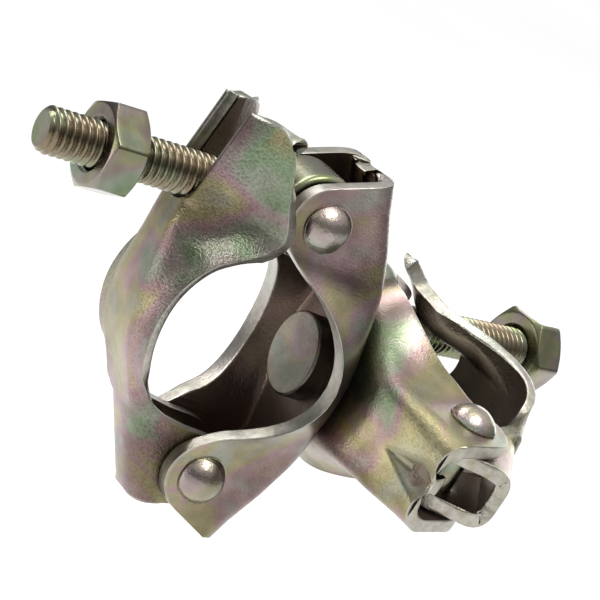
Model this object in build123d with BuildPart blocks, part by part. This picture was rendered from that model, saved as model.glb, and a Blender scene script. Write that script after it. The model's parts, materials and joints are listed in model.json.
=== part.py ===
"""Pressed swivel coupler for two 48.3 mm scaffold tubes.

Two identical pressed half couplers stand back to back on one swivel rivet.
Each half is a saddle, a hinged cap, an eye bolt with its nut, and the two rivets
that the cap and the eye bolt turn on.

A half is modelled in its own frame: X runs along its strap from the cap hinge to the
bolt, Y along its tube and Z from the swivel face to the tube. half_frames then places
the two halves. The row's origin is the centre of the first tube.
"""

import os
from math import acos, atan2, cos, hypot, radians, sin, sqrt

from build123d import *

os.makedirs("parts", exist_ok=True)

# ---- driving dimensions, mm and degrees ----
tube_d = 48.3
seat_clearance = 0.1
seat_r = tube_d / 2 + seat_clearance
tube_height = 33.7            # swivel face to tube centre
swivel_gap = 0.1              # running gap between the two swivel faces
swivel_angle = 82.0           # from tube A to tube B, about the swivel rivet
plate = 4.0

hinge_x, hinge_z = -36.4, 24.9
bolt_x, bolt_z = 37.2, 26.6
bolt_rest_angle = {"a": -3.4, "b": 15.0}   # from square to the swivel face, outwards

saddle_hinge_end = (-51.6, 16.0)   # top corner of each open end
saddle_bolt_end = (54.0, 13.5)
saddle_shoulder = (22.6, 25.0)     # where the arms leave the tube's seat
web_flat = 26.0               # half length of the flat round the swivel rivet
web_rise = {"hinge": 0.42, "bolt": 0.41}   # slope of the two arms past that flat
clevis_w = 28.0               # outside width at both ends
boss_w, boss_reach = 36.0, 28.0   # outside width of the web beside the rivet, and how far it tapers
lip_w, lip_reach = 55.0, 24.5     # outside width of the lips under the tube, and their length each way
hinge_ear_r, bolt_ear_r = 10.5, 11.2
outer_bend, inner_bend = 6.0, 2.0
section_top = 40.0            # sections are drawn to here, then trimmed
section_stations = (-40, -31, -25.5, -20, -13, -5, 5, 13, 20, 25.5, 31, 40)

pin_r = 4.75
head_r, head_h = 6.75, 4.5
dome_side = (0.7, 0.76)       # a point on the dome, as shares of head_r and head_h
pin_running = 0.05

swivel_r = 8.0
swivel_head_r = 11.6
swivel_head_top = 9.3
swivel_chamfer = 0.6

cap_band_w = 16.0             # raised band along the middle of the cap
cap_lip_w = 34.0
cap_lip_r = seat_r + 2.6      # outer face of the lips, thinner than the plate
cap_flange_w = 18.4           # outside width where the cap fits in the clevis
cap_crown_x, cap_crown_z = 4.3, 63.6
cap_fork_x, cap_fork_z = 24.4, 63.8
cap_skirt_x, cap_skirt_top, cap_skirt_low, cap_skirt_w = 31.0, 63.2, 39.0, 38.0
cap_tip_x, cap_tip_top, cap_tip_low, cap_tip_w = 57.0, 58.8, 47.6, 32.0
cap_heel_x, cap_heel_z = -49.8, 37.0
cap_knee_x, cap_knee_z = -24.0, 51.9
cap_shoulder_x, cap_shoulder_z = -9.3, 60.7
cap_flange_r = 9.8
slot_w, slot_start = 14.4, 28.2
fork_edge = 0.6               # height of the sides' squared lower edge
cap_wide_x, cap_narrow_x = -10.6, -25.5    # the plan tapers to the flanges between these
cap_stations = (              # x, and how far the sides run down before the tube's space is cut away
    (cap_knee_x, 3.0), (-16.0, 6.0), (cap_shoulder_x, 6.0), (cap_crown_x, 6.0), (14.0, 8.0),
    (21.0, 8.0), (cap_fork_x, 3.0), (cap_skirt_x, fork_edge), (cap_tip_x, fork_edge),
)
heel_mouth = 6.0              # the channel stops this short of the heel, inside

shank_r = 6.25
eye_r, eye_w = 12.0, 16.0
bolt_length = 79.1            # eye centre to tip
tip_chamfer = 1.2
nut_af, nut_h = 22.0, 10.5
nut_at = {"a": 59.0, "b": 73.7}   # eye centre to nut centre
nut_turn = {"a": -10.2, "b": -8.0}  # hexagon corner, from outwards towards the tube's far end
nut_bore_r = shank_r + 0.05
nut_chamfer = 1.4
nut_face_r, nut_bearing_r, nut_bearing_h = 10.45, 10.34, 0.8
far = 200.0

half_frames = {
    "a": Plane(origin=(tube_height, 0, 0), x_dir=(0, 0, 1), z_dir=(-1, 0, 0)),
    "b": Plane(
        origin=(tube_height, 0, 0),
        x_dir=(0, sin(radians(swivel_angle)), cos(radians(swivel_angle))),
        z_dir=(1, 0, 0),
    ),
}


# ---- saddle ----
def web_z(x):
    """Height of the web's outer face above the swivel plane."""
    slope = web_rise["hinge"] if x < 0 else web_rise["bolt"]
    return swivel_gap / 2 + slope * max(0.0, abs(x) - web_flat)


def lip_half_width(x):
    """Outer half width of the lip where the tube rests on it."""
    return max(clevis_w / 2, lip_w / 2 - (lip_w - clevis_w) / 2 * (abs(x) / lip_reach) ** 2)


def section_corners(x):
    """Half widths of the U section at its web and at the height of the pins."""
    web_half = clevis_w / 2 + (boss_w - clevis_w) / 2 * max(0.0, 1 - (x / boss_reach) ** 2)
    if abs(x) >= seat_r:
        return web_half, web_half
    lip_z = tube_height - sqrt(seat_r**2 - x**2)
    slope = (lip_half_width(x) - web_half) / (lip_z - web_z(x))
    return web_half, web_half + slope * (section_top - web_z(x))


def channel(inset, bend, overrun=0.0):
    """Solid channel whose faces lie inset from the saddle's outside."""
    first, last = saddle_hinge_end[0] - overrun, saddle_bolt_end[0] + overrun
    with BuildPart() as solid:
        for x in (first, *section_stations, last):
            web_half, top_half = section_corners(x)
            low = web_z(x) + inset
            with BuildSketch(Plane(origin=(x, 0, 0), x_dir=(0, 1, 0), z_dir=(1, 0, 0))) as section:
                with BuildLine():
                    Polyline(
                        (inset - top_half, section_top),
                        (inset - web_half, low),
                        (web_half - inset, low),
                        (top_half - inset, section_top),
                        close=True,
                    )
                make_face()
                fillet(section.vertices().group_by(Axis.Y)[0], bend)
        loft(ruled=True)
    return solid.part


def touch_point(point, centre, radius, side):
    """Where a line from the point touches the circle, on the given side of it."""
    away_x, away_z = point[0] - centre[0], point[1] - centre[1]
    angle = atan2(away_z, away_x) + side * acos(radius / hypot(away_x, away_z))
    return centre[0] + radius * cos(angle), centre[1] + radius * sin(angle)


def arm_points(pin, radius, corners, sides):
    """Corners of one arm's side view, joined by tangents to the ear round its pin."""
    first = touch_point(corners[0], pin, radius, sides[0])
    last = touch_point(corners[-1], pin, radius, sides[1])
    return (*corners, last, pin, first)


def saddle_side():
    """Prism of the saddle's side view, with the tube's seat cut out of it."""
    below = -5.0
    shoulder_x, shoulder_z = saddle_shoulder
    arms = (
        (-1, (hinge_x, hinge_z), hinge_ear_r, saddle_hinge_end, (-1, 1)),
        (1, (bolt_x, bolt_z), bolt_ear_r, saddle_bolt_end, (1, -1)),
    )
    with BuildPart() as prism:
        with BuildSketch(Plane.XZ):
            with Locations((0, (shoulder_z + below) / 2)):
                Rectangle(2 * shoulder_x + 1, shoulder_z - below)
        extrude(amount=far, both=True)
        for hand, pin, radius, end, sides in arms:
            corners = (end, (end[0], below), (hand * shoulder_x, below), (hand * shoulder_x, shoulder_z))
            with BuildSketch(Plane.XZ):
                with Locations(pin):
                    Circle(radius)
                with BuildLine():
                    Polyline(*arm_points(pin, radius, corners, sides), close=True)
                make_face()
            extrude(amount=far, both=True)
        with BuildSketch(Plane.XZ):
            with Locations((0, tube_height)):
                Circle(seat_r)
        extrude(amount=far, both=True, mode=Mode.SUBTRACT)
    return prism.part


def make_saddle(swivel_hole_r):
    with BuildPart() as saddle:
        add(channel(0.0, outer_bend))
        add(channel(plate, inner_bend, overrun=2.0), mode=Mode.SUBTRACT)
        add(saddle_side(), mode=Mode.INTERSECT)
        with BuildSketch(Plane.XZ):
            with Locations((hinge_x, hinge_z), (bolt_x, bolt_z)):
                Circle(pin_r)
        extrude(amount=far, both=True, mode=Mode.SUBTRACT)
        with BuildSketch(Plane.XY):
            Circle(swivel_hole_r)
        extrude(amount=2 * plate, mode=Mode.SUBTRACT)
    return saddle.part


# ---- cap, closed on the tube ----
def cap_outline(x):
    """Outside of the cap at x: half width and height of its band, then of its side's lower edge."""
    band = cap_band_w / 2
    if x >= cap_skirt_x:
        part_way = (x - cap_skirt_x) / (cap_tip_x - cap_skirt_x)
        top = cap_skirt_top + (cap_tip_top - cap_skirt_top) * part_way
        low = cap_skirt_low + (cap_tip_low - cap_skirt_low) * part_way
        return band, top, (cap_skirt_w + (cap_tip_w - cap_skirt_w) * part_way) / 2, low
    profile = (
        (cap_knee_x, cap_knee_z), (cap_shoulder_x, cap_shoulder_z), (cap_crown_x, cap_crown_z),
        (cap_fork_x, cap_fork_z), (cap_skirt_x, cap_skirt_top),
    )
    (x0, z0), (x1, z1) = next(pair for pair in zip(profile, profile[1:]) if x <= pair[1][0])
    top = z0 + (z1 - z0) * (x - x0) / (x1 - x0)
    lip = tube_height + sqrt(cap_lip_r**2 - x**2)
    return band, top, cap_lip_w / 2, lip


def cap_section(x, inset, depth):
    """Closed outline of the cap at x, its faces moved in by the inset and its sides run down by depth."""
    band, top, side, low = cap_outline(x)
    run, drop = side - band, top - low
    in_y, in_z = inset * drop / hypot(run, drop), inset * run / hypot(run, drop)
    top_half = band - in_y + (inset - in_z) * run / drop
    half = (
        (side - in_y, low - in_z - depth), (side - in_y, low - in_z), (top_half, top - inset),
    )
    return (*((-y, z) for y, z in half), *reversed(half))


def cap_body(inset, overrun=0.0):
    """Solid over the tube and out to the fork's tip, its faces moved in by the inset."""
    with BuildPart() as solid:
        for x, depth in cap_stations:
            place = x + overrun if x == cap_tip_x else x
            with BuildSketch(Plane(origin=(place, 0, 0), x_dir=(0, 1, 0), z_dir=(1, 0, 0))):
                with BuildLine():
                    Polyline(*cap_section(x, inset, depth + overrun), close=True)
                make_face()
        loft(ruled=True)
    return solid.part


def cap_heel():
    """Channel round the hinge rivet: a web and two flanges."""
    along = Vector(cap_knee_x - cap_heel_x, cap_knee_z - cap_heel_z).normalized()
    inward = Vector(along.Y, -along.X)
    inner_heel = Vector(cap_heel_x, cap_heel_z) + inward * plate - along * heel_mouth
    inner_knee = Vector(cap_knee_x, cap_knee_z) + inward * plate
    overlap = (cap_knee_x + 3, cap_knee_z - 6)
    corners = ((cap_heel_x, cap_heel_z), (cap_knee_x, cap_knee_z), overlap)
    with BuildPart() as heel:
        with BuildSketch(Plane.XZ):
            with Locations((hinge_x, hinge_z)):
                Circle(cap_flange_r)
            with BuildLine():
                Polyline(*arm_points((hinge_x, hinge_z), cap_flange_r, corners, (1, -1)), close=True)
            make_face()
        extrude(amount=cap_flange_w / 2, both=True)
        with BuildSketch(Plane.XZ):
            with BuildLine():
                Polyline((inner_heel.X, inner_heel.Y), (inner_knee.X, inner_knee.Y),
                         (inner_knee.X, 0), (inner_heel.X, 0), close=True)
            make_face()
        extrude(amount=cap_flange_w / 2 - plate, both=True, mode=Mode.SUBTRACT)
    return heel.part


def make_cap():
    flange, wide, reach = cap_flange_w / 2, cap_skirt_w / 2 + 1, far / 2
    with BuildPart() as cap:
        add(cap_body(0.0))
        add(cap_body(plate, overrun=1.5), mode=Mode.SUBTRACT)
        with BuildSketch(Plane.XY):
            with BuildLine():
                Polyline(
                    (reach, wide), (cap_wide_x, wide), (cap_narrow_x, flange),
                    (cap_narrow_x, -flange), (cap_wide_x, -wide), (reach, -wide), close=True,
                )
            make_face()
        extrude(amount=far, mode=Mode.INTERSECT)
        add(cap_heel())
        with BuildSketch(Plane.XZ):
            with Locations((0, tube_height)):
                Circle(seat_r)
            with Locations((hinge_x, hinge_z)):
                Circle(pin_r + pin_running)
        extrude(amount=far, both=True, mode=Mode.SUBTRACT)
        with BuildSketch(Plane.XY):
            with Locations((slot_start + far / 2, 0)):
                SlotOverall(far, slot_w)
        extrude(amount=far, mode=Mode.SUBTRACT)
    return cap.part


# ---- rivets ----
def make_rivet():
    """Cross rivet with a shank through the clevis and a domed head at each end."""
    half = clevis_w / 2
    with BuildPart() as rivet:
        with BuildSketch(Plane.XY):
            with BuildLine():
                Line((0, half + head_h), (0, -half - head_h))
                for side in (1, -1):
                    ThreePointArc((0, side * (half + head_h)),
                                  (dome_side[0] * head_r, side * (half + dome_side[1] * head_h)), (head_r, side * half))
                    Line((head_r, side * half), (pin_r, side * half))
                Line((pin_r, half), (pin_r, -half))
            make_face()
        revolve(axis=Axis.Y)
    return rivet.part


def make_swivel_rivet():
    """Shank through both webs and a flat head inside each saddle."""
    seat_a = plate + swivel_gap / 2
    seat_b = seat_a + pin_running
    with BuildPart() as rivet:
        with BuildSketch(Plane.XZ):
            with BuildLine():
                Polyline(
                    (0, -swivel_head_top), (swivel_head_r, -swivel_head_top), (swivel_head_r, -seat_b),
                    (swivel_r, -seat_b), (swivel_r, seat_a), (swivel_head_r, seat_a),
                    (swivel_head_r, swivel_head_top), (0, swivel_head_top), close=True,
                )
            make_face()
        revolve(axis=Axis.Z)
        rims = rivet.edges().filter_by(GeomType.CIRCLE).group_by(Axis.Z)
        chamfer(rims[0] + rims[-1], swivel_chamfer)
    return rivet.part


# ---- eye bolt and nut, with the eye's centre at the origin ----
def make_eye_bolt():
    with BuildPart() as bolt:
        with BuildSketch(Plane.XY):
            Circle(shank_r)
        extrude(amount=bolt_length)
        chamfer(bolt.edges().group_by(Axis.Z)[-1], tip_chamfer)
        with BuildSketch(Plane.XZ):
            Circle(eye_r)
        extrude(amount=eye_w / 2, both=True)
        with BuildSketch(Plane.XZ):
            Circle(pin_r + pin_running)
        extrude(amount=far, both=True, mode=Mode.SUBTRACT)
    return bolt.part


def make_nut(centre, turn):
    """Hexagon nut: chamfered corners outside, a round bearing face towards the cap."""
    low, high = centre - nut_h / 2, centre + nut_h / 2
    corner_r, above = nut_af / sqrt(3), low + nut_bearing_h
    with BuildPart() as nut:
        with BuildSketch(Plane.XY.offset(low)):
            RegularPolygon(nut_af / 2, 6, major_radius=False, rotation=turn)
        extrude(amount=nut_h)
        with BuildSketch(Plane.XZ):
            with BuildLine():
                Polyline(
                    (nut_bore_r, low), (nut_bearing_r, low), (nut_bearing_r, above),
                    (corner_r, above + nut_bearing_h), (corner_r, high - nut_chamfer),
                    (nut_face_r, high), (nut_bore_r, high), close=True,
                )
            make_face()
        revolve(axis=Axis.Z, mode=Mode.INTERSECT)
    return nut.part


# ---- both halves, placed and written ----
def write(shape, name):
    shape.label = name
    export_step(shape, f"parts/{name}.step")


cross_rivet = make_rivet()
hinge_at = Location((hinge_x, 0, hinge_z))
bolt_at = Location((bolt_x, 0, bolt_z))
cap = make_cap()
eye_bolt = make_eye_bolt()
saddle_holes = {"a": swivel_r, "b": swivel_r + pin_running}

for half, plane in half_frames.items():
    to_row = plane.location
    swung = Location((bolt_x, 0, bolt_z), (0, bolt_rest_angle[half], 0))
    write(to_row * make_saddle(saddle_holes[half]), f"saddle_{half}")
    write(to_row * cap, f"cap_{half}")
    write(to_row * (hinge_at * cross_rivet), f"hinge_rivet_{half}")
    write(to_row * (bolt_at * cross_rivet), f"bolt_rivet_{half}")
    write(to_row * (swung * eye_bolt), f"eye_bolt_{half}")
    write(to_row * (swung * make_nut(nut_at[half], nut_turn[half])), f"nut_{half}")

write(half_frames["a"].location * make_swivel_rivet(), "swivel_rivet")
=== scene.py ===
"""Looks of the pressed swivel coupler: pressed plates, threaded eye bolts, nuts and rivets.

Every mesh is built in millimetres in its own half's frame, u along the strap from the cap
hinge to the bolt, y along the tube and n from the swivel face to the tube, and is then put
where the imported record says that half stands.
"""
import json
from math import acos, asin, atan2, cos, degrees, hypot, pi, radians, sin, sqrt, tan

import bmesh
import bpy
import numpy as np
from mathutils import Matrix, Vector


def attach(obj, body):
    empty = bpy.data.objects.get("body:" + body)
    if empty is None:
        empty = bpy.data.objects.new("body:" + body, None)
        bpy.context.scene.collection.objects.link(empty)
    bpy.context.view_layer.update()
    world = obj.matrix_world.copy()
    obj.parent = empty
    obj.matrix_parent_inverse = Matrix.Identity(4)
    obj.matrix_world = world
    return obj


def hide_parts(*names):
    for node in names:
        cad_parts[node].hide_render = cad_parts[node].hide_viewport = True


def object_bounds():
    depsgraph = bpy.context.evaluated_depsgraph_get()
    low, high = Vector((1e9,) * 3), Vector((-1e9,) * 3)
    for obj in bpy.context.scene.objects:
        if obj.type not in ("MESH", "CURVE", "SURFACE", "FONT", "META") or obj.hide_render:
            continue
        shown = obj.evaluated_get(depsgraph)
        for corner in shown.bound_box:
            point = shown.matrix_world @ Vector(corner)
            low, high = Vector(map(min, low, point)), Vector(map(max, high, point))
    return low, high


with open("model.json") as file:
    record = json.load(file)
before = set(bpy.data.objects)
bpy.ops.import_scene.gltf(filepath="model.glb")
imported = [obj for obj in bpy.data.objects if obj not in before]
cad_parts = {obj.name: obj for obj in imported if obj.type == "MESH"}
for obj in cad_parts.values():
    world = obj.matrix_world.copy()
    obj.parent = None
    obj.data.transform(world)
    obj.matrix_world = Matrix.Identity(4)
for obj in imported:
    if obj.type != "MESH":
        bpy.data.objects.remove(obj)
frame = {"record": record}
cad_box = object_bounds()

MM = 0.001
record = frame["record"]
joints = {joint["name"]: joint for joint in record["behaviour"]["joints"]}
mounts = {mount["name"]: mount for mount in record["mounts"]}
swivel_at = Vector(joints["swivel"]["pos_m"])

# ---- sizes that the looks add to the record's, mm ----
PLATE = 4.0
SEAT_R = mounts["tube_clamp_a"]["dims"]["r_mm"]

SADDLE_ENDS, END_HEIGHTS = (-51.6, 54.0), (16.0, 13.5)   # at the hinge and at the bolt
CLEVIS = 14.0                                            # half width of those two ends
SHOULDER_U = 22.6                                        # where the seat's arc meets the ears
HINGE_EAR_R, BOLT_EAR_R = 10.5, 11.2
WEB_LIFT, WEB_FLAT_TO = 0.05, 26.0
WEB_RISE_HINGE, WEB_RISE_BOLT = 0.42, 0.41
WEB_SWELL, WEB_SWELL_REACH = 4.0, 28.0
LIP_HALF, LIP_REACH = 27.5, 24.5
DIMPLE_DEPTH, DIMPLE_LENGTH, DIMPLE_HALF = 2.8, 15.0, 7.0

CAP_ENDS = (-49.8, 57.0)
HEEL_R, HEEL_HALF = 9.8, 9.2
BAND_HALF = 8.0                                          # half width of the strap's flat top
LIP_GAP = 2.3                                            # from the tube to the strap's lips
SLOT_FROM, SLOT_HALF = 28.2, 7.2
SADDLE_RIM, CAP_RIM = 0.7, 0.9                           # how far the plates' rims are rounded

PIN_R, SWIVEL_SHANK_R, HOLE_GAP = 4.75, 8.0, 0.06
EYE_R, EYE_HALF, EYE_HOLE_R = 12.0, 8.0, 4.85
SHANK_R, THREAD_ROOT_R, PITCH = 6.25, 5.15, 2.117
TIP, THREAD_FROM = 79.1, 27.0
NUT_FLATS, NUT_H = 22.0, 10.5
NUT_PLACE = {"a": 59.0, "b": 73.7}                       # along the bolt from its pin
NUT_TURN = {"a": -10.2, "b": -8.0}                       # degrees

CORE_R = 0.02                                            # the flat that ends a turned solid
SHARP_FROM = 38                                          # degrees between neighbouring faces


class Half:
    """One half coupler's frame, read from the record."""

    def __init__(self, name):
        self.name = name
        mount = mounts[f"tube_clamp_{name}"]
        offset = Vector(mount["pos_m"]) - swivel_at
        self.height = offset.length / MM
        self.n = offset.normalized()
        self.y = Vector(mount["axis"]).normalized()
        self.u = self.y.cross(self.n)
        self.hinge = self.local(joints[f"cap_hinge_{name}"]["pos_m"])
        self.pin = self.local(joints[f"bolt_swing_{name}"]["pos_m"])
        along = Vector(joints[f"nut_travel_{name}"]["axis"])
        self.bolt = (along.dot(self.u), along.dot(self.n))
        self.matrix = Matrix.Translation(swivel_at) @ Matrix(
            [[self.u[i] * MM, self.y[i] * MM, self.n[i] * MM, 0] for i in range(3)] + [[0, 0, 0, 1]]
        )

    def local(self, point):
        away = (Vector(point) - swivel_at) / MM
        return away.dot(self.u), away.dot(self.n)

    def bolt_matrix(self):
        """Places a mesh whose Z runs along the bolt and whose Y is the eye's axis."""
        bu, bn = self.bolt
        turned = Matrix(((bn, 0, bu, self.pin[0]), (0, 1, 0, 0), (-bu, 0, bn, self.pin[1]), (0, 0, 0, 1)))
        return self.matrix @ turned


# ---- mesh helpers ----
def mesh_object(name, points, faces, attributes=None):
    mesh = bpy.data.meshes.new(name)
    mesh.from_pydata([tuple(p) for p in points], [], faces)
    for key, values in (attributes or {}).items():
        layer = mesh.attributes.new(key, "FLOAT", "POINT")
        layer.data.foreach_set("value", np.asarray(values, dtype=np.float32))
    mesh.validate()
    obj = bpy.data.objects.new(name, mesh)
    bpy.context.collection.objects.link(obj)
    return obj


def apply_modifiers(obj):
    view = bpy.context.evaluated_depsgraph_get()
    done = bpy.data.meshes.new_from_object(obj.evaluated_get(view))
    obj.modifiers.clear()
    obj.data = done


def settle(obj, matrix, body, node, material):
    obj.data.transform(matrix)
    obj.data.polygons.foreach_set("use_smooth", [True] * len(obj.data.polygons))
    obj.data.set_sharp_from_angle(angle=radians(SHARP_FROM))
    obj.data.materials.clear()
    obj.data.materials.append(material)
    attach(obj, body)
    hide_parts(node)


def lathe(profile, turns, closed=True):
    """Points and faces of a profile of (radius, height) turned about Z.

    A closed profile makes a ring, and an open one a solid with flat ends.
    """
    points = []
    for r, z in profile:
        for k in range(turns):
            a = 2 * pi * k / turns
            points.append((r * cos(a), r * sin(a), z))
    rows = len(profile)
    faces = []
    for i in range(rows if closed else rows - 1):
        j = (i + 1) % rows
        for k in range(turns):
            m = (k + 1) % turns
            faces.append((i * turns + k, i * turns + m, j * turns + m, j * turns + k))
    if not closed:
        faces.append(tuple(reversed(range(turns))))
        faces.append(tuple(range((rows - 1) * turns, rows * turns)))
    return points, faces


def arc(centre, radius, start, end, steps):
    """Points on an arc, angles in degrees."""
    spots = [radians(start + (end - start) * k / steps) for k in range(steps + 1)]
    return [(centre[0] + radius * cos(a), centre[1] + radius * sin(a)) for a in spots]


def smooth_profile(u, n, sigma):
    """The polyline n(u) as a function, with its corners eased by a Gaussian."""
    step = 0.25
    grid = np.arange(u[0] - 4 * sigma, u[-1] + 4 * sigma, step)
    slope0 = (n[1] - n[0]) / (u[1] - u[0])
    slope1 = (n[-1] - n[-2]) / (u[-1] - u[-2])
    values = np.interp(grid, u, n)
    values = np.where(grid < u[0], n[0] + slope0 * (grid - u[0]), values)
    values = np.where(grid > u[-1], n[-1] + slope1 * (grid - u[-1]), values)
    reach = int(3 * sigma / step)
    kernel = np.exp(-0.5 * (np.arange(-reach, reach + 1) * step / sigma) ** 2)
    eased = np.convolve(np.pad(values, reach, mode="edge"), kernel / kernel.sum(), mode="valid")
    inner = (grid > u[0] - sigma) & (grid < u[-1] + sigma)
    return lambda x: float(np.interp(x, grid[inner], eased[inner]))


def rounded_path(corners, cuts, counts):
    """Points along a polyline in space whose inner corners are eased by Bezier arcs.

    Each arc begins and ends its cut away from its corner, or nearer where a stretch is short.
    counts has the number of points on each straight stretch and each arc in turn.
    """
    end_share, back_share, on_share = 0.85, 0.42, 0.55
    corners = [np.array(c, float) for c in corners]
    last = len(corners) - 2
    path, start = [], corners[0]
    for i in range(1, last + 1):
        before, here, after = corners[i - 1], corners[i], corners[i + 1]
        back, on = before - here, after - here
        back_length, on_length = np.linalg.norm(back), np.linalg.norm(on)
        back_room = (end_share if i == 1 else back_share) * back_length
        on_room = (end_share if i == last else on_share) * on_length
        cut = min(cuts[i - 1], back_room, on_room)
        enter, leave = here + back / back_length * cut, here + on / on_length * cut
        stretch = np.linspace(0, 1, counts[2 * i - 2], endpoint=False)
        bend = np.linspace(0, 1, counts[2 * i - 1], endpoint=False)
        path += [start + (enter - start) * t for t in stretch]
        path += [(1 - t) ** 2 * enter + 2 * t * (1 - t) * here + t**2 * leave for t in bend]
        start = leave
    path += [start + (corners[-1] - start) * t for t in np.linspace(0, 1, counts[-1])]
    return path


def rim_rings(outside, inside, facing, quads, rims, radius):
    """Rounded steps from the outer to the inner skin at every rim vertex.

    A rim vertex steps back by up to the radius, but not past the next row of the grid, and not
    much further than its neighbours on the rim.
    """
    quarter = [(-1.0, 0.0), (-0.5, 0.134), (-0.134, 0.5), (0.0, 1.0)]
    room_share, least_gap = 0.8, 0.02
    growth, leeway, rounds = 1.4, 0.03, 8
    before, after, beside = {}, {}, {}
    for a, b in rims:
        after[a], before[b], beside[a] = b, a, set()
    for quad in quads:
        for a, b in zip(quad, quad[1:] + quad[:1]):
            if a in beside:
                beside[a].add(b)
            if b in beside:
                beside[b].add(a)
    frames, backs = {}, {}
    for v in after:
        depth = inside[v] - outside[v]
        thick = np.linalg.norm(depth)
        depth = depth / thick
        out = np.cross(outside[after[v]] - outside[before[v]], facing[v])
        out -= depth * out.dot(depth)
        out /= np.linalg.norm(out)
        room = [(outside[v] - outside[w]).dot(out) for w in beside[v]]
        frames[v] = out, depth, thick
        backs[v] = min([radius] + [room_share * gap for gap in room if gap > least_gap])
    for _ in range(rounds):
        least = {v: min(backs[before[v]], backs[after[v]]) for v in backs}
        backs = {v: min(backs[v], growth * least[v] + leeway) for v in backs}
    rings = {}
    for v, (out, depth, thick) in frames.items():
        steps = [(outside[v] + out * backs[v] * p, radius * q) for p, q in quarter]
        rings[v] = [spot + depth * deep for spot, deep in steps]
        rings[v] += [spot + depth * (thick - deep) for spot, deep in reversed(steps)]
    return rings


def open_holes(outer, normal, holes):
    """Marks the quads inside the holes and draws each hole's rim onto its circle."""
    squarely = 0.8                # how straight a quad has to face along the hole
    middles = (outer[:-1, :-1] + outer[1:, :-1] + outer[:-1, 1:] + outer[1:, 1:]) / 4
    gone = np.zeros(middles.shape[:2], bool)
    columns, rows = gone.shape
    for across, at, radius in holes:
        flat = [0, 2] if across == 1 else [0, 1]
        inside = np.hypot(*(middles[..., axis] - place for axis, place in zip(flat, at))) < radius
        inside &= np.abs(normal[:-1, :-1, across]) > squarely
        touched, beside = np.zeros((2, columns + 1, rows + 1), int)
        for i in (0, 1):
            for k in (0, 1):
                touched[i:i + columns, k:k + rows] += inside
                beside[i:i + columns, k:k + rows] += 1
        rim = (touched > 0) & (touched < beside)
        spoke = outer[rim][:, flat] - at
        drawn = outer[rim]
        drawn[:, flat] = at + spoke * radius / np.linalg.norm(spoke, axis=1, keepdims=True)
        outer[rim] = drawn
        gone |= inside
    return gone


def thicken(outer, normal, tube, open_to, steep_from):
    """Inner face of the plate: flat sides move straight in, and slot and tube stay clear."""
    steep_span, least_side = 0.2, 0.45
    steep = np.clip((np.abs(normal[..., 1]) - steep_from) / steep_span, 0, 1)[..., None]
    straight = np.zeros_like(normal)
    straight[..., 1] = 1 / np.maximum(np.abs(normal[..., 1]), least_side)
    inner = outer - ((1 - steep) * normal + steep * straight) * PLATE
    for column, limit in zip(inner, open_to):
        for k in range(1, len(column)):
            if limit > 0 and column[k, 1] <= limit:
                column[k, 1], column[k, 2] = limit, min(column[k, 2], column[k - 1, 2])
    reach = np.hypot(inner[..., 0], inner[..., 2] - tube)
    push = np.where(reach < SEAT_R, SEAT_R / np.maximum(reach, 1e-6), 1.0)
    inner[..., 0] *= push
    inner[..., 2] = tube + (inner[..., 2] - tube) * push
    return inner


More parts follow.
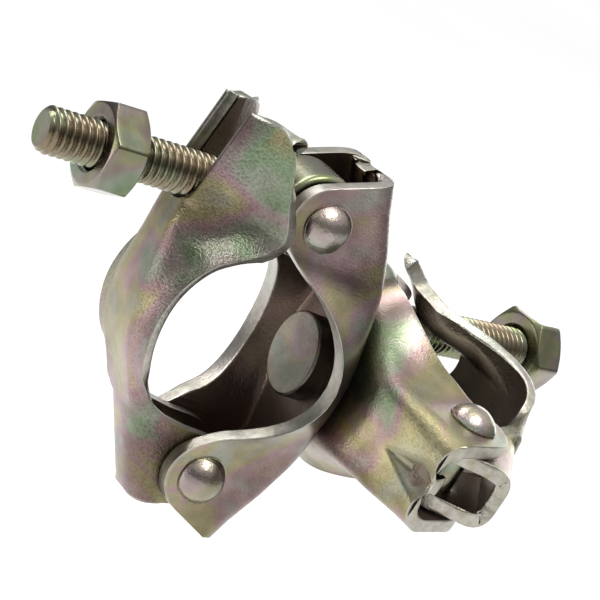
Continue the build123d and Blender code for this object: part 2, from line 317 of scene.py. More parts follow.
def plate_mesh(name, half_grid, tube, grain, holes, open_to, steep_from, rim_radius):
    """Closed plate from the outer face of its y > 0 half, mirrored, thickened inwards, rims rounded.

    half_grid is columns by rows by (u, y, n), rows running out from the middle. tube is the
    centre height of the tube, whose space the inner face keeps clear of. holes are (axis across
    them, centre, radius), and open_to is the half width of the slot at each column. grain is how
    strongly each row of the outer face is grained. Sides whose normal's y is over steep_from are
    thickened straight inwards.
    """
    # The rims take a tenth of the painted shade that darkens the inner faces.
    inner_grain, rim_grain, rim_painted_shade = 0.8, 0.6, 0.1
    outer = np.array(half_grid, float)
    normal = np.cross(np.gradient(outer, axis=1), np.gradient(outer, axis=0))
    middle = outer[:, :, 1] < 1e-6
    normal[middle, 1] = 0.0
    normal /= np.linalg.norm(normal, axis=2, keepdims=True)
    gone = open_holes(outer, normal, holes)
    inner = thicken(outer, normal, tube, open_to, steep_from)
    inner[middle, 1] = 0.0
    flip = np.array([1.0, -1.0, 1.0])
    outside, inside, facing = (
        np.concatenate([part.reshape(-1, 3), (part * flip).reshape(-1, 3)]) for part in (outer, inner, normal)
    )
    columns, rows = middle.shape
    size, total = middle.size, 2 * middle.size
    same = np.arange(total)
    flat_middle = middle.reshape(-1)
    same[size:][flat_middle] = np.arange(size)[flat_middle]
    quads = []
    for i in range(columns - 1):
        for k in range(rows - 1):
            if gone[i, k]:
                continue
            a, b, c, d = i * rows + k, i * rows + k + 1, (i + 1) * rows + k + 1, (i + 1) * rows + k
            quads.append((a, b, c, d))
            quads.append(tuple(int(same[size + q]) for q in (a, d, c, b)))
    edges = {edge for quad in quads for edge in zip(quad, quad[1:] + quad[:1])}
    rims = [(a, b) for a, b in edges if (b, a) not in edges]
    rings = rim_rings(outside, inside, facing, quads, rims, rim_radius)
    extra, chains = [], {}
    for v, ring in rings.items():
        outside[v], inside[v] = ring[0], ring[-1]
        first = 2 * total + len(extra)
        extra += ring[1:-1]
        chains[v] = [v, *range(first, first + len(ring) - 2), total + v]
    faces = quads + [tuple(total + v for v in reversed(quad)) for quad in quads]
    for a, b in rims:
        steps = list(zip(chains[a], chains[b]))
        faces += [(b0, a0, a1, b1) for (a0, b0), (a1, b1) in zip(steps, steps[1:])]
    points = np.concatenate([outside, inside, np.array(extra)])
    rim = np.concatenate([np.zeros(2 * total), np.ones(len(extra))])
    for v in rings:
        rim[[v, total + v]] = 1.0
    outer_grain = np.tile(grain, 2 * columns)
    grains = np.concatenate([outer_grain, np.full(total, inner_grain), np.full(len(extra), rim_grain)])
    # Painted shade mask: full on the inner faces, a tenth on the rims, none on the outer face.
    painted_shade_mask = np.concatenate([np.zeros(total), np.ones(total), np.full(len(extra), rim_painted_shade)])
    used = sorted({v for face in faces for v in face})
    renumber = {v: i for i, v in enumerate(used)}
    faces = [tuple(renumber[v] for v in face) for face in faces]
    values = {"rim": rim[used], "grain": grains[used], "painted_shade_mask": painted_shade_mask[used]}
    return mesh_object(name, points[used], faces, values)


# ---- saddle ----
def web_height(u):
    """Height of the web's outer face: flat on the other half, rising towards both ends."""
    rise = WEB_RISE_HINGE if u < 0 else WEB_RISE_BOLT
    return WEB_LIFT + rise * max(0.0, abs(u) - WEB_FLAT_TO)


def lip_half(u):
    """Half width over the cheeks' upper edges."""
    return max(CLEVIS, LIP_HALF - (LIP_HALF - CLEVIS) * (abs(u) / LIP_REACH) ** 2)


def web_half(u):
    """Half width of the web, which swells round the swivel rivet."""
    return CLEVIS + WEB_SWELL * max(0.0, 1 - (u / WEB_SWELL_REACH) ** 2)


def flare(u, seat_n):
    """How far the cheeks lean out for each millimetre that they rise. The seat's centre is at seat_n."""
    if abs(u) >= SEAT_R:
        return 0.0
    return (lip_half(u) - web_half(u)) / (seat_n - sqrt(SEAT_R**2 - u**2) - web_height(u))


def eased(function, u, spread=3.0):
    """The function's average about u, which turns its kinks into bends."""
    reach, step = 2.5, 0.25       # in spreads
    steps = np.arange(-reach, reach + step / 2, step)
    weights = np.exp(-0.5 * steps**2)
    return float(sum(w * function(u + s * spread) for s, w in zip(steps, weights)) / weights.sum())


def tangent_point(point, centre, radius, side):
    """Where a tangent from the point touches the circle, side +1 or -1 choosing which of the two."""
    away = point[0] - centre[0], point[1] - centre[1]
    angle = atan2(away[1], away[0]) + side * acos(radius / hypot(*away))
    return centre[0] + radius * cos(angle), centre[1] + radius * sin(angle)


def ear_outline(centre, radius, first, last):
    """The top of an ear: in along a tangent, round the pin, out along a tangent."""
    start, end = tangent_point(first, centre, radius, -1), tangent_point(last, centre, radius, 1)
    a0 = degrees(atan2(start[1] - centre[1], start[0] - centre[0]))
    a1 = degrees(atan2(end[1] - centre[1], end[0] - centre[0]))
    if a0 < 0:
        a0 += 360
    return [first] + arc(centre, radius, a0, a1, 16) + [last]


def saddle_outline(half):
    """Upper edge of the saddle's cheeks as (u, n) points from end to end."""
    hinge_end, bolt_end = zip(SADDLE_ENDS, END_HEIGHTS)
    shoulder_n = half.height - sqrt(SEAT_R**2 - SHOULDER_U**2)
    seat_half = degrees(asin(SHOULDER_U / SEAT_R))
    points = ear_outline(half.hinge, HINGE_EAR_R, hinge_end, (-SHOULDER_U, shoulder_n))
    points += arc((0, half.height), SEAT_R, 270 - seat_half, 270 + seat_half, 40)[1:-1]
    points += ear_outline(half.pin, BOLT_EAR_R, (SHOULDER_U, shoulder_n), bolt_end)
    return points


def dimple(u, y, end):
    """How far the pressed triangle near one end pushes the web in."""
    full_from = 0.7               # share of the length over which the dimple deepens
    back = DIMPLE_LENGTH - abs(u - end)
    if back <= 0:
        return 0.0
    half_width = DIMPLE_HALF * back / DIMPLE_LENGTH
    across = max(0.0, 1 - (y / half_width) ** 2) ** 2
    return DIMPLE_DEPTH * across * min(1.0, back / (full_from * DIMPLE_LENGTH))


def trimmed(path, high, count):
    """The path up to a height, as evenly spaced points."""
    path = np.array(path)
    inside = int(np.argmax(path[:, 2] > high)) or len(path) - 1
    before, beyond = path[inside - 1], path[inside]
    share = min(1.0, (high - before[2]) / max(beyond[2] - before[2], 1e-9))
    kept = np.vstack([path[:inside], before + (beyond - before) * share])
    length = np.concatenate([[0], np.cumsum(np.linalg.norm(np.diff(kept, axis=0), axis=1))])
    spots = np.linspace(0, length[-1], count)
    return list(np.array([np.interp(spots, length, kept[:, axis]) for axis in range(3)]).T)


def bend_cut(u):
    """How far from its corner the bend from web to cheek begins. It is rounder at the ends."""
    least, extra, rounder_from, rounder_over = 6.0, 2.5, 36.0, 10.0
    return least + extra * min(1.0, max(0.0, (abs(u) - rounder_from) / rounder_over))


def make_saddle(half, body, material):
    """Saddle pressing: a web, and two cheeks cut out to the tube's seat."""
    edge_softness, edge_step, columns = 0.9, 0.2, 190
    web_rows, cheek_rows, path_counts = 10, 32, (1, 24, 50)
    least_cheek = 15.0            # a cheek is drawn at least this tall before it is cut to its edge
    plain_grain, bend_grain, bend_row, bend_spread = 0.35, 0.6, 14, 12
    outline = saddle_outline(half)
    top = smooth_profile([p[0] for p in outline], [p[1] for p in outline], edge_softness)
    edge = np.array([(u, top(u)) for u in np.arange(SADDLE_ENDS[0], SADDLE_ENDS[1] + 0.01, edge_step)])
    length = np.concatenate([[0], np.cumsum(np.hypot(*np.diff(edge, axis=0).T))])
    grid = []
    for u in np.interp(np.linspace(0, length[-1], columns), length, edge[:, 0]):
        low, high = eased(web_height, u), top(u)
        side, tall = eased(web_half, u), max(high, low + least_cheek)
        lean = eased(lambda spot: flare(spot, half.height), u) * (tall - low)
        corners = [(u, 0, low), (u, side, low), (u, side + lean, tall)]
        path = rounded_path(corners, (bend_cut(u),), path_counts)
        web = [path[0] + (path[1] - path[0]) * t for t in np.linspace(0, 1, web_rows, endpoint=False)]
        column = web + trimmed(path[1:], high, cheek_rows)
        grid.append([(x, y, n + max(dimple(x, y, end) for end in SADDLE_ENDS)) for x, y, n in column])
    rows = range(web_rows + cheek_rows)
    grain = [plain_grain + bend_grain * max(0.0, 1 - abs(k - bend_row) / bend_spread) for k in rows]
    holes = [(1, half.hinge, PIN_R), (1, half.pin, PIN_R), (2, (0, 0), SWIVEL_SHANK_R + HOLE_GAP)]
    obj = plate_mesh(f"pressed_saddle_{half.name}", grid, half.height, grain, holes, open_to=[0.0] * columns,
                     steep_from=0.35, rim_radius=SADDLE_RIM)
    settle(obj, half.matrix, body, f"saddle_{half.name}", material)


# ---- cap ----
def cap_stations(half):
    """Rows of (top u, edge u, edge y, edge n, band half width, valley) from heel to fork.

    Each row is one section of the strap's half: its top's u, the lower edge's place and how
    deeply the flank between them is hollowed.
    """
    rows = []
    for top_u, angle in ((CAP_ENDS[0], 200), (-46.5, 222), (-42.5, 247), (-38.0, 270), (-33.5, 296),
                         (-29.8, 325), (-27.8, 350)):
        edge_u, edge_n = arc(half.hinge, HEEL_R, angle, angle, 1)[0]
        rows.append((top_u, edge_u, HEEL_HALF, edge_n, HEEL_HALF, 0.0))
    rows += [(-26.6, -26.5, 9.2, 31.0, 9.2, 0.0), (-25.6, -25.5, 9.4, 38.5, 9.1, 0.0),
             (-23.2, -22.6, 10.4, 46.0, 8.8, 0.1), (-19.4, -18.8, 12.6, 51.4, 8.3, 0.3)]
    lip_r = SEAT_R + LIP_GAP
    lips = [(-14.5, 14.8), (-9.5, 16.2), (-4.5, 16.8)] + [(u, 17.0) for u in (0.5, 5.5, 10.5, 15.5, 20.0)]
    rows += [(u, u, y, half.height + sqrt(lip_r**2 - u**2), BAND_HALF, 0.5) for u, y in lips]
    for top_u, edge_u, edge_y, edge_n, valley in (
            (24.2, 24.2, 17.3, 44.4, 0.8), (27.6, 27.8, 18.3, 41.0, 1.0), (31.0, 31.5, 18.9, 39.2, 1.0),
            (40.0, 40.0, 18.0, 42.0, 0.7), (48.5, 48.5, 17.0, 44.8, 0.3),
            (CAP_ENDS[1], CAP_ENDS[1], 16.0, 47.6, 0.0)):
        rows.append((top_u, edge_u, edge_y, edge_n, BAND_HALF, valley))
    return np.array(rows)


def spline_rows(rows, knots, spots):
    """Catmull-Rom values of every column of rows at the spots along the knots."""
    out = []
    for s in spots:
        i = int(np.clip(np.searchsorted(knots, s, side="right") - 1, 0, len(knots) - 2))
        t = (s - knots[i]) / (knots[i + 1] - knots[i])
        p1, p2 = rows[i], rows[i + 1]
        p0, p3 = rows[max(i - 1, 0)], rows[min(i + 2, len(rows) - 1)]
        span = knots[i + 1] - knots[i]
        m1 = (p2 - p0) / (knots[i + 1] - knots[max(i - 1, 0)]) * span
        m2 = (p3 - p1) / (knots[min(i + 2, len(knots) - 1)] - knots[i]) * span
        out.append((2 * t**3 - 3 * t**2 + 1) * p1 + (t**3 - 2 * t**2 + t) * m1
                   + (3 * t**2 - 2 * t**3) * p2 + (t**3 - t**2) * m2)
    return out


def cap_columns():
    """Top u of every column: even steps, closing up where the fork's slot begins."""
    body_columns, mouth_columns, prong_columns = 88, 12, 23
    slot_centre = SLOT_FROM + SLOT_HALF
    solid = np.linspace(CAP_ENDS[0], SLOT_FROM, body_columns)
    mouth = slot_centre - SLOT_HALF * np.cos(np.linspace(0, pi / 2, mouth_columns + 1))[1:]
    prongs = np.linspace(slot_centre, CAP_ENDS[1], prong_columns + 1)[1:]
    return np.concatenate([solid, mouth, prongs])


def slot_half(u):
    """Half width of the fork's slot."""
    to_centre = SLOT_FROM + SLOT_HALF - u
    if to_centre >= SLOT_HALF - 1e-6:
        return 0.0
    return sqrt(SLOT_HALF**2 - to_centre**2) if to_centre > 0 else SLOT_HALF


def tip_pull(u, share):
    """How far a prong's tip is drawn back, a share of the way from its top to its lower edge."""
    most, tip_from, tip_length, low_from, low_span = 4.2, 49.0, 8.0, 0.72, 0.28
    near_tip = max(0.0, (u - tip_from) / tip_length) ** 2
    return most * max(0.0, (share - low_from) / low_span) ** 2 * near_tip


def make_cap(half, body, material):
    """Strap pressing: a flat band, flanks bent down from it and hollowed, and a forked end."""
    heel_to, top_softness = -24.0, 2.6
    heel_bend, band_bend, hollow_bend = 9.0, 4.0, 5.0
    heel_straight, flank_straight, hollow_out, hollow_rise = 0.78, 0.5, 3.4, 0.2
    counts, band_rows, grain_rows = (8, 9, 5, 9, 9), 8, 6
    profile_u = (CAP_ENDS[0], heel_to, -9.3, 4.3, 24.4, 31.0, CAP_ENDS[1])
    profile_n = (37.0, 51.9, 60.7, 63.6, 63.8, 63.2, 58.8)
    top = smooth_profile(profile_u, profile_n, top_softness)
    rows, columns = cap_stations(half), cap_columns()
    grid = []
    for top_u, edge_u, edge_y, edge_n, band, valley in spline_rows(rows, rows[:, 0], columns):
        top_n, in_heel = top(top_u), top_u <= heel_to
        start = np.array([top_u, slot_half(top_u), top_n])
        crease = np.array([top_u, band, top_n])
        edge = np.array([edge_u, edge_y, edge_n])
        straight = crease + (edge - crease) * (heel_straight if in_heel else flank_straight)
        hollow_n = edge_n + hollow_rise * (top_n - edge_n)
        hollow = np.array([0.4 * top_u + 0.6 * edge_u, band + hollow_out, hollow_n])
        bottom = straight + (hollow - straight) * min(max(valley, 0.0), 1.0)
        cuts = (heel_bend if in_heel else band_bend, hollow_bend)
        path = rounded_path([start, crease, bottom, edge], cuts, counts)
        shares = np.linspace(0, 1, len(path))
        grid.append([(u - tip_pull(u, share), y, n) for (u, y, n), share in zip(path, shares)])
    grain = [0.15 + 0.85 * min(1.0, max(0.0, (k - band_rows) / grain_rows)) for k in range(sum(counts))]
    slot = [slot_half(u) for u in columns]
    holes = [(1, half.hinge, PIN_R + HOLE_GAP)]
    obj = plate_mesh(f"pressed_cap_{half.name}", grid[::-1], half.height, grain, holes, open_to=slot[::-1],
                     steep_from=0.7, rim_radius=CAP_RIM)
    settle(obj, half.matrix, body, f"cap_{half.name}", material)


# ---- rivets ----
def make_cross_rivet(name, half, at, body, node, material):
    """Domed rivet through the clevis, upset a little unevenly at each head."""
    head_r, head_h, rim_h, rim_round, seat_gap = 6.7, 4.4, 0.45, 0.15, 0.02
    three_lobes, five_lobes = 0.012, 0.008
    sphere_r = (head_r**2 + head_h**2) / (2 * head_h)
    spread = degrees(asin(head_r / sphere_r))
    dome = arc((0, CLEVIS + head_h - sphere_r), sphere_r, 90, 90 - spread, 18)[1:]
    dome[-1] = (head_r, CLEVIS + rim_h)
    side = [(CORE_R, CLEVIS + head_h)] + dome
    side += [(head_r - rim_round, CLEVIS + seat_gap), (PIN_R, CLEVIS - seat_gap)]
    points, faces = lathe(side + [(r, -z) for r, z in reversed(side)], turns=72, closed=False)
    shaped = []
    for x, y, z in points:
        a, swell = atan2(y, x), 1.0
        if hypot(x, y) > PIN_R + 0.1:
            swell += three_lobes * sin(3 * a + at[0]) + five_lobes * sin(5 * a + at[1])
        shaped.append((x * swell, y * swell, z))
    obj = mesh_object(name, shaped, faces)
    stand = Matrix(((1, 0, 0, at[0]), (0, 0, 1, 0), (0, -1, 0, at[1]), (0, 0, 0, 1)))
    settle(obj, half.matrix @ stand, body, node, material)


def make_swivel_rivet(half, body, material):
    """Flat headed rivet through both webs, its head a little dished and its rim rounded."""
    head_r, top, seat_gap, rim_round, flat_r, dish, rings = 11.6, 9.3, 0.05, 0.8, 9.8, 0.12, 6
    seat = PLATE + seat_gap
    face = [(flat_r * k / rings + CORE_R, top - dish * (1 - (k / rings) ** 2)) for k in range(rings)]
    rim = arc((head_r - rim_round, top - rim_round), rim_round, 90, 0, 5)
    under_r = head_r - 0.1
    upper = face + rim + [(under_r, seat), (SWIVEL_SHANK_R, seat)]
    lower = [(r, -z) for r, z in reversed(upper)]
    lower[1] = (under_r, -seat - seat_gap)
    points, faces = lathe(upper + lower, turns=96, closed=False)
    obj = mesh_object("swivel_rivet_turned", points, faces)
    settle(obj, half.matrix, body, "swivel_rivet", material)


# ---- eye bolt ----
def thread_points():
    """A shank whose outside follows a right-hand thread from THREAD_FROM to the tip.

    Each row is one turn of a helix, so its end meets the start of the row a pitch further up.
    """
    turns, lead, first = 48, 10, 18.0
    crest_width, flank_width, run_in = 0.1, 0.78, 3.0
    under_crest, tip_length, tip_slope = 0.05, 1.6, 0.95
    step = PITCH / lead
    rows = int((TIP - first) / step)
    points = []
    for i in range(rows + 1):
        for k in range(turns):
            share = k / turns
            z = min(max(first + i * step + (share - 0.5) * PITCH, first), TIP)
            phase = (i * step / PITCH) % 1.0
            crest = 1 - 2 * abs(phase - 0.5)
            raised = min(1.0, max(0.0, (crest - crest_width) / flank_width))
            fade = min(1.0, max(0.0, (z - THREAD_FROM) / run_in))
            r = SHANK_R - (1 - raised) * (SHANK_R - THREAD_ROOT_R) * fade
            r = min(r, SHANK_R - under_crest - max(0.0, z - (TIP - tip_length)) * tip_slope)
            points.append((r * cos(2 * pi * share), r * sin(2 * pi * share), z))
    faces = []
    for i in range(rows):
        for k in range(turns - 1):
            a, b = i * turns + k, i * turns + k + 1
            faces.append((a, b, b + turns, a + turns))
    for i in range(rows - lead):
        a, b = (i + lead) * turns, i * turns + turns - 1
        faces.append((b, a, a + turns, b + turns))
    return points, faces


def make_thread(name):
    """The threaded shank, its helix welded and its two ends closed."""
    weld = 0.004
    obj = mesh_object(name, *thread_points())
    shell = bmesh.new()
    shell.from_mesh(obj.data)
    bmesh.ops.remove_doubles(shell, verts=shell.verts, dist=weld)
    bmesh.ops.dissolve_degenerate(shell, edges=shell.edges, dist=weld)
    bmesh.ops.holes_fill(shell, edges=[e for e in shell.edges if e.is_boundary], sides=0)
    bmesh.ops.recalc_face_normals(shell, faces=shell.faces)
    shell.to_mesh(obj.data)
    shell.free()
    return obj


def make_eye(name):
    """Forged eye and neck, blended together by a fine voxel remesh."""
    edge, lead_in, neck_core = 1.6, 0.6, 0.05
    ring = [(EYE_HOLE_R, -EYE_HALF + lead_in), (EYE_HOLE_R + lead_in, -EYE_HALF)]
    ring += arc((EYE_R - edge, -EYE_HALF + edge), edge, -90, 0, 5)
    ring += arc((EYE_R - edge, EYE_HALF - edge), edge, 0, 90, 5)
    ring += [(EYE_HOLE_R + lead_in, EYE_HALF), (EYE_HOLE_R, EYE_HALF - lead_in)]
    points, faces = lathe(ring, turns=72)
    points = [(x, z, -y) for x, y, z in points]
    taper = [(7.9, 7.5), (7.6, 10.5), (7.0, 13.5), (6.5, 16.5), (SHANK_R, 19.0), (SHANK_R, 24.0)]
    neck = [(neck_core, taper[0][1]), *taper, (neck_core, taper[-1][1])]
    neck_points, neck_faces = lathe(neck, turns=48, closed=False)
    faces += [tuple(len(points) + v for v in face) for face in neck_faces]
    obj = mesh_object(name, points + neck_points, faces)
    remesh = obj.modifiers.new("forge", "REMESH")
    remesh.mode = "VOXEL"
    remesh.voxel_size = 0.42
    ease = obj.modifiers.new("ease", "SMOOTH")
    ease.factor = 0.5
    ease.iterations = 5
    apply_modifiers(obj)
    return obj


def make_eye_bolt(half, body, material):
    """Eye bolt, as a forged eye and a threaded shank on one body."""
    eye = make_eye(f"bolt_eye_{half.name}")
    thread = make_thread(f"bolt_thread_{half.name}")
    for obj in (eye, thread):
        settle(obj, half.bolt_matrix(), body, f"eye_bolt_{half.name}", material)


# ---- nut ----
def make_nut(half, body, material):
    """Hexagon nut, chamfered at both faces, with a countersunk bore."""
    turns, flat, half_h, sink_h = 180, NUT_FLATS / 2, NUT_H / 2, 1.3
    chamfer_r, corner_r, bore_r, sink_r = 0.955 * flat, 12.5, SHANK_R + 0.05, SHANK_R + 1.1
    cuts, counts = (0.3, 0.25, 0.4, 0.25), (1, 3, 1, 3, 3, 3, 1, 3, 4)
    chamfer_slope = tan(radians(30))
    rings = []
    for k in range(turns):
        a = 2 * pi * k / turns
        sector = (a + pi / 6) % (pi / 3) - pi / 6
        r = min(flat / cos(sector), corner_r)
        drop = (r - chamfer_r) * chamfer_slope
        corners = [(bore_r, 0), (bore_r, half_h - sink_h), (sink_r, half_h), (chamfer_r, half_h),
                   (r, half_h - drop), (r, 0)]
        upper = rounded_path(corners, cuts, counts)
        rings.append([(*p, a) for p in upper] + [(p[0], -p[1], a) for p in reversed(upper[1:-1])])
    count = len(rings[0])
    turn = radians(NUT_TURN[half.name]) + pi / 6
    points = [(r * cos(a + turn), r * sin(a + turn), z) for ring in rings for r, z, a in ring]
    faces = []
    for k in range(turns):
        m = (k + 1) % turns
        for i in range(count):
            j = (i + 1) % count
            faces.append((k * count + i, k * count + j, m * count + j, m * count + i))
    obj = mesh_object(f"hex_nut_{half.name}", points, faces)
    lift = Matrix.Translation((0, 0, NUT_PLACE[half.name]))
    settle(obj, half.bolt_matrix() @ lift, body, f"nut_{half.name}", material)


# ---- materials ----
class Nodes:
    """Short hand for building one material's nodes."""

    def __init__(self, name):
        self.material = bpy.data.materials.new(name)
        self.material.use_nodes = True
        self.tree = self.material.node_tree
        self.shader = self.tree.nodes["Principled BSDF"]
        self.place = self.add("ShaderNodeTexCoord").outputs["Object"]

    def add(self, kind, **settings):
        node = self.tree.nodes.new(kind)
        for key, value in settings.items():
            setattr(node, key, value)
        return node

    def link(self, source, target):
        if isinstance(source, (int, float, tuple)):
            target.default_value = source
        else:
            self.tree.links.new(source, target)

    def put(self, name, value):
        self.link(value, self.shader.inputs[name])

    def noise(self, scale, detail=2.0, rough=0.5, distortion=0.0, seed=0.0):
        shift = self.add("ShaderNodeVectorMath", operation="ADD")
        self.link(self.place, shift.inputs[0])
        shift.inputs[1].default_value = (seed, seed * 0.7, seed * 1.3)
        node = self.add("ShaderNodeTexNoise")
        self.link(shift.outputs[0], node.inputs["Vector"])
        node.inputs["Scale"].default_value = scale
        node.inputs["Detail"].default_value = detail
        node.inputs["Roughness"].default_value = rough
        node.inputs["Distortion"].default_value = distortion
        return node.outputs["Fac"]

    def math(self, operation, a, b=0.0, clamp=False):
        node = self.add("ShaderNodeMath", operation=operation, use_clamp=clamp)
        self.link(a, node.inputs[0])
        self.link(b, node.inputs[1])
        return node.outputs[0]

    def ramp(self, factor, stops):
        node = self.add("ShaderNodeValToRGB")
        self.link(factor, node.inputs["Fac"])
        marks = node.color_ramp.elements
        while len(marks) < len(stops):
            marks.new(0.5)
        for mark, (spot, colour) in zip(marks, stops):
            mark.position = spot
            mark.color = colour if len(colour) == 4 else (*colour, 1)
        return node.outputs["Color"]

    def mix(self, factor, a, b, blend="MIX"):
        node = self.add("ShaderNodeMix", data_type="RGBA", blend_type=blend)
        self.link(factor, node.inputs["Factor"])
        self.link(a, node.inputs["A"])
        self.link(b, node.inputs["B"])
        return node.outputs["Result"]

    def attribute(self, name):
        return self.add("ShaderNodeAttribute", attribute_name=name).outputs["Fac"]

    def bump(self, height, strength, distance, under=None):
        node = self.add("ShaderNodeBump")
        self.link(height, node.inputs["Height"])
        node.inputs["Strength"].default_value = strength
        node.inputs["Distance"].default_value = distance
        if under is not None:
            self.link(under, node.inputs["Normal"])
        return node.outputs["Normal"]


SILVER, STRAW = (0.215, 0.217, 0.19, 1), (0.26, 0.225, 0.11, 1)
GREEN, ROSE, MAUVE = (0.14, 0.21, 0.12, 1), (0.26, 0.155, 0.185, 1), (0.17, 0.12, 0.185, 1)
FILM = [(0.30, GREEN), (0.40, SILVER), (0.47, STRAW), (0.53, ROSE), (0.585, SILVER), (0.64, GREEN),
        (0.70, STRAW), (0.78, MAUVE)]
SPECKS = [(0.38, (0.66, 0.63, 0.56)), (0.52, (1, 1, 1))]
MOTTLE = [(0.36, (0.48, 0.46, 0.42)), (0.60, (1.15, 1.15, 1.15))]
# Painted shade: the first colour on the next line is the dark brown that the plates' inner faces are darkened
# towards; the second is worn metal on the rims.
INNER_PAINTED_SHADE, WORN_RIM = (0.115, 0.08, 0.064, 1), (0.38, 0.37, 0.33, 1)
BOLT_HUES = [(0.36, (0.15, 0.19, 0.07)), (0.48, (0.20, 0.20, 0.14)), (0.60, (0.19, 0.15, 0.10))]
BOLT_STREAK = (0.08, 0.075, 0.05, 1)
FLOOR_TONES = [(0.3, (0.90, 0.90, 0.90)), (0.7, (0.93, 0.93, 0.93))]


def zinc(name, tint, bloom, grain_size, grain_strength, roughness, seed, plain_grain=0.15):
    """Yellow zinc passivate: slow patches of straw, green and rose over silver, and a fine grain, with
    painted shade on the plates' inner faces.
    """
    m = Nodes(name)
    slow = m.noise(34, detail=2.5, rough=0.55, distortion=0.9, seed=seed)
    wide = m.noise(17, detail=1.5, distortion=0.5, seed=seed + 3.1)
    film = m.math("ADD", m.math("MULTIPLY", slow, 0.72), m.math("MULTIPLY", wide, 0.36))
    colour = m.mix(bloom, SILVER, m.ramp(film, FILM))
    colour = m.mix(1.0, colour, tint, blend="MULTIPLY")
    grain = m.noise(grain_size, detail=3.0, rough=0.62, seed=seed)
    formed = m.attribute("grain")
    specked = m.mix(1.0, colour, m.ramp(grain, SPECKS), blend="MULTIPLY")
    colour = m.mix(m.math("MULTIPLY", formed, 0.75), colour, specked)
    cloud = m.noise(48, detail=3.0, rough=0.6, seed=seed + 9.0)
    colour = m.mix(0.8, colour, m.ramp(cloud, MOTTLE), blend="MULTIPLY")
    # Painted shade: the plates' inner faces, and a little of their rims, are darkened towards dark brown by
    # the shade mask.
    colour = m.mix(m.math("MULTIPLY", m.attribute("painted_shade_mask"), 0.8), colour, INNER_PAINTED_SHADE)
    wear = m.noise(420, detail=2.0, seed=seed + 1.7)
    rim = m.math("MULTIPLY", m.attribute("rim"), wear, clamp=True)
    m.put("Base Color", m.mix(m.math("MULTIPLY", rim, 1.3, clamp=True), colour, WORN_RIM))
    m.put("Metallic", 1.0)
    haze = m.noise(90, detail=3.0, seed=seed + 5.0)
    rough = m.math("ADD", m.math("MULTIPLY", haze, 0.16), roughness - 0.08)
    m.put("Roughness", m.math("ADD", rough, m.math("MULTIPLY", formed, 0.05), clamp=True))
    height = m.math("MULTIPLY", grain, m.math("ADD", m.math("MULTIPLY", formed, 0.85), plain_grain))
    fine = m.bump(height, grain_strength, distance=0.00035)
    dents = m.noise(130, detail=2.0, seed=seed + 8.0)
    m.put("Normal", m.bump(dents, 0.16, distance=0.0012, under=fine))
    return m.material


def thread_material(seed):
    """The bolt: patches of yellow green and brown, with fine dark specks."""
    m = Nodes(f"zinc_thread_{seed}")
    hue = m.ramp(m.noise(60, detail=2.0, distortion=0.6, seed=seed), BOLT_HUES)
    streak = m.noise(900, detail=2.0, seed=seed + 2.0)
    m.put("Base Color", m.mix(m.math("MULTIPLY", streak, 0.45), hue, BOLT_STREAK))
    m.put("Metallic", 1.0)
    m.put("Roughness", m.math("ADD", m.math("MULTIPLY", streak, 0.18), 0.18))
    m.put("Normal", m.bump(m.noise(700, detail=3.0, seed=seed), 0.22, distance=0.0002))
    return m.material


def studio_floor_material():
    """Pale matt floor with a very faint mottle."""
    m = Nodes("studio_floor")
    m.put("Base Color", m.ramp(m.noise(2.0, detail=2.0), FLOOR_TONES))
    m.put("Roughness", 0.9)
    return m.material


# ---- the coupler ----
TINTS = {"a": (1.0, 0.99, 0.97, 1), "b": (0.98, 0.97, 0.88, 1)}
RIVET_TINT, NUT_TINT, SWIVEL_TINT = (1.1, 1.1, 1.08, 1), (0.80, 0.88, 0.78, 1), (1.0, 0.94, 0.95, 1)
SEEDS = {"a": 0.0, "b": 4.3}


def make_half(half):
    """One half coupler: its pressings, cross rivets, eye bolt and nut, each on its own body."""
    name, body, seed, tint = half.name, f"half_{half.name}", SEEDS[half.name], TINTS[half.name]
    saddle_zinc = zinc(f"zinc_saddle_{name}", tint, bloom=0.72, grain_size=1500, grain_strength=0.5,
                       roughness=0.30, seed=seed)
    cap_zinc = zinc(f"zinc_cap_{name}", tint, bloom=0.78, grain_size=1400, grain_strength=0.8,
                    roughness=0.28, seed=seed + 1.1)
    rivet_zinc = zinc(f"zinc_rivet_{name}", RIVET_TINT, bloom=0.45, grain_size=1000, grain_strength=0.55,
                      roughness=0.27, seed=seed + 2.2, plain_grain=0.7)
    nut_zinc = zinc(f"zinc_nut_{name}", NUT_TINT, bloom=0.6, grain_size=1800, grain_strength=0.2,
                    roughness=0.25, seed=seed + 3.3, plain_grain=0.5)
    make_saddle(half, body, saddle_zinc)
    make_cap(half, f"cap_body_{name}", cap_zinc)
    make_cross_rivet(f"domed_rivet_hinge_{name}", half, half.hinge, body, f"hinge_rivet_{name}", rivet_zinc)
    make_cross_rivet(f"domed_rivet_bolt_{name}", half, half.pin, body, f"bolt_rivet_{name}", rivet_zinc)
    make_eye_bolt(half, f"bolt_body_{name}", thread_material(seed))
    make_nut(half, f"nut_body_{name}", nut_zinc)


half_a, half_b = Half("a"), Half("b")
make_half(half_a)
make_half(half_b)
swivel_zinc = zinc("zinc_swivel", SWIVEL_TINT, bloom=0.45, grain_size=900, grain_strength=0.4,
                   roughness=0.36, seed=7.7, plain_grain=0.8)
make_swivel_rivet(half_a, "half_a", swivel_zinc)


# ---- studio ----
def look_at(obj, place, target):
    """Stands a lamp at a place and turns it to its target."""
    obj.location = place
    obj.rotation_euler = (Vector(target) - Vector(place)).to_track_quat("-Z", "Y").to_euler()


def area_light(name, place, target, size, power, colour=(1, 1, 1)):
    lamp = bpy.data.lights.new(name, "AREA")
    lamp.shape = "RECTANGLE"
    lamp.size, lamp.size_y = size
    lamp.energy = power
    lamp.color = colour
    obj = bpy.data.objects.new(name, lamp)
    bpy.context.collection.objects.link(obj)
    look_at(obj, place, target)


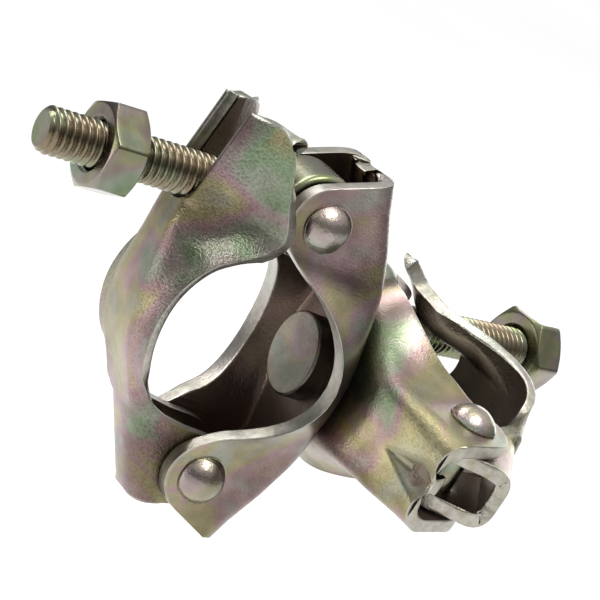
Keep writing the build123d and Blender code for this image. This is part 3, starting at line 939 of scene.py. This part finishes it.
# The camera stands where it was fitted to the photograph's rivet heads, seats, bolt and nut.
camera_at = Vector((-0.4741, -0.7479, 0.2064))
forward = Vector((0.5380, 0.8162, -0.2101)).normalized()
up = Vector((0.7925, -0.4049, 0.4560)).normalized().cross(forward).normalized()
right = forward.cross(up).normalized()
camera_data = bpy.data.cameras.new("camera")
camera_data.sensor_width = 36.0
camera_data.lens = 211.9
camera_data.clip_end = 50.0
camera = bpy.data.objects.new("camera", camera_data)
bpy.context.collection.objects.link(camera)
camera.matrix_world = Matrix.Translation(camera_at) @ Matrix((right, up, -forward)).transposed().to_4x4()
bpy.context.scene.camera = camera

floor_drop, floor_reach = 0.30, 14.0
floor_z = cad_box[0][2] - floor_drop
floor_corners = [(x * floor_reach, y * floor_reach, floor_z) for x, y in ((-1, -1), (1, -1), (1, 1), (-1, 1))]
floor = mesh_object("studio_floor_plane", floor_corners, [(0, 1, 2, 3)])
floor.data.materials.append(studio_floor_material())

middle = Vector((0.025, 0.0, 0.0))


def studio_place(sideways, upward, back):
    """A point given from the object's middle along the camera's right, up and towards it."""
    return middle + right * sideways + up * upward - forward * back


area_light("key", studio_place(0.55, 0.75, 0.55), middle, (0.5, 0.5), 8)
area_light("top", studio_place(-0.2, 1.1, -0.1), middle, (0.9, 0.35), 7)
area_light("left", studio_place(-0.95, 0.15, 0.35), middle, (0.35, 0.9), 4)
area_light("low", studio_place(0.35, -0.8, 0.5), middle, (0.8, 0.3), 1.5)
area_light("back", studio_place(0.5, 0.2, -1.0), middle, (0.6, 0.6), 4)

# The sky is dark low down and bright overhead, which gives the plated steel its contrast.
sky_stops, sky_strength = ((0.05, 0.10), (0.75, 1.0), (0.35, 0.22)), 1.8
world = bpy.data.worlds.new("studio")
world.use_nodes = True
bpy.context.scene.world = world
sky = world.node_tree
rise = sky.nodes.new("ShaderNodeSeparateXYZ")
sky.links.new(sky.nodes.new("ShaderNodeTexCoord").outputs["Generated"], rise.inputs[0])
overhead = sky.nodes.new("ShaderNodeValToRGB")
sky.links.new(rise.outputs["Z"], overhead.inputs["Fac"])
marks = [*overhead.color_ramp.elements, overhead.color_ramp.elements.new(0.3)]
for mark, (spot, tone) in zip(marks, sky_stops):
    mark.position = spot
    mark.color = (tone, tone, tone, 1)
sky.links.new(overhead.outputs["Color"], sky.nodes["Background"].inputs["Color"])
sky.nodes["Background"].inputs["Strength"].default_value = sky_strength
bpy.context.scene.view_settings.view_transform = "Standard"
